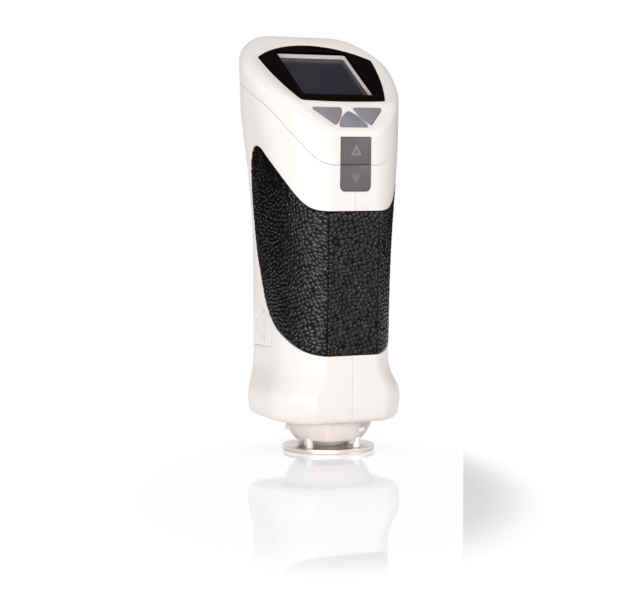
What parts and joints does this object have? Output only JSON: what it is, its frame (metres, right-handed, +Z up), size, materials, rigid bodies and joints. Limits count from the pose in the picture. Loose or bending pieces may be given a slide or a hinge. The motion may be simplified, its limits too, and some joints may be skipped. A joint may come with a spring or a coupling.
{
  "type": "benchtop colorimeter",
  "caption": "Upright hand-held colorimeter: white waisted housing, sloping display with keys, leather grip with side button, measuring port under it on a round locating plate.",
  "frame": {"origin": "centre of the measuring aperture on the underside of the locating plate", "axes": "+Z up along the instrument, +X to the right seen from the keys, -Y towards the keys"},
  "size_m": [0.0798, 0.0727, 0.205],
  "materials": {
    "white_shell": "semi-gloss, warm white",
    "leather": "pebbled",
    "battery_lid": "semi-gloss, warm white",
    "key_grey": "satin, mid grey",
    "arrow_grey": "satin, mid grey",
    "window_glass": "clear",
    "window_mask": "printed near-black",
    "screen_frame": "satin",
    "screen": "dark, off",
    "board_green": "solder mask",
    "white_bowl": "satin, off-white",
    "plate_metal": "satin",
    "ring_metal": "turned",
    "optic_glass": "polished",
    "white_post": "satin",
    "screw_steel": "plated",
    "black_part": "moulded",
    "rubber_mat": "matte",
    "lamp_clear": "clear lens",
    "tube_black": "anodised",
    "chassis_grey": "moulded",
    "battery_wrap": "film",
    "contact_brass": "plated",
    "port_steel": "tinned",
    "foil_orange": "film"
  },
  "bodies": {
    "housing": {"left_housing": "white_shell", "right_housing": "white_shell", "top_cover": "white_shell", "leather_grip": "leather", "key_mat": "rubber_mat", "key_board": "board_green", "key_switches": "contact_brass", "display_window": "window_glass", "window_mask": "window_mask", "lcd_frame": "screen_frame", "lcd_panel": "screen", "display_board": "board_green", "sphere_lower": "white_bowl", "sphere_upper": "white_bowl", "sphere_screws": "screw_steel", "cap_pins": "white_post", "port_ring": "ring_metal", "port_window": "optic_glass", "lamp_board": "board_green", "lamps": "lamp_clear", "sensor_tube": "tube_black", "sensor_lens": "optic_glass", "sensor_board": "board_green", "photodiode": "black_part", "chassis": "chassis_grey", "main_board": "board_green", "board_screws": "screw_steel", "main_chips": "black_part", "buzzer": "black_part", "battery_pack": "battery_wrap", "battery_contacts": "contact_brass", "measure_switch": "black_part", "switch_board": "board_green", "power_switch": "black_part", "usb_port": "port_steel", "dc_socket": "black_part", "port_board": "board_green", "housing_screws": "screw_steel", "cover_screws": "screw_steel", "display_cable": "foil_orange"},
    "enter_key": {"enter_key": "key_grey"},
    "cancel_key": {"cancel_key": "key_grey"},
    "save_key": {"save_key": "key_grey"},
    "up_key": {"up_key": "arrow_grey"},
    "down_key": {"down_key": "arrow_grey"},
    "measure_button": {"measure_button": "black_part", "button_facing": "leather"},
    "power_knob": {"power_knob": "black_part"},
    "battery_cover": {"battery_cover": "battery_lid"},
    "locating_plate": {"locating_plate": "plate_metal", "locating_posts": "white_post", "plate_screws": "screw_steel"}
  },
  "joints": [
    {"name": "enter_key_press", "type": "slide", "parent": "housing", "child": "enter_key", "axis": [0, 0.7705, -0.6374], "range_m": [0, 0.0008], "stiffness_N_per_m": 300},
    {"name": "cancel_key_press", "type": "slide", "parent": "housing", "child": "cancel_key", "axis": [0, 0.7705, -0.6374], "range_m": [0, 0.0008], "stiffness_N_per_m": 300},
    {"name": "save_key_press", "type": "slide", "parent": "housing", "child": "save_key", "axis": [0, 0.7705, -0.6374], "range_m": [0, 0.0008], "stiffness_N_per_m": 300},
    {"name": "up_key_press", "type": "slide", "parent": "housing", "child": "up_key", "axis": [0, 1, 0], "range_m": [0, 0.0008], "stiffness_N_per_m": 300},
    {"name": "down_key_press", "type": "slide", "parent": "housing", "child": "down_key", "axis": [0, 1, 0], "range_m": [0, 0.0008], "stiffness_N_per_m": 300},
    {"name": "measure_button_press", "type": "slide", "parent": "housing", "child": "measure_button", "axis": [1, 0, 0], "range_m": [0, 0.001], "stiffness_N_per_m": 500},
    {"name": "power_knob_slide", "type": "slide", "parent": "housing", "child": "power_knob", "axis": [0, 0, 1], "range_m": [0, 0.003]},
    {"name": "battery_cover_off", "type": "slide", "parent": "housing", "child": "battery_cover", "axis": [0, 1, 0], "range_m": [0, 0.04]},
    {"name": "locating_plate_off", "type": "slide", "parent": "housing", "child": "locating_plate", "axis": [0, 0, -1], "range_m": [0, 0.012]}
  ]
}
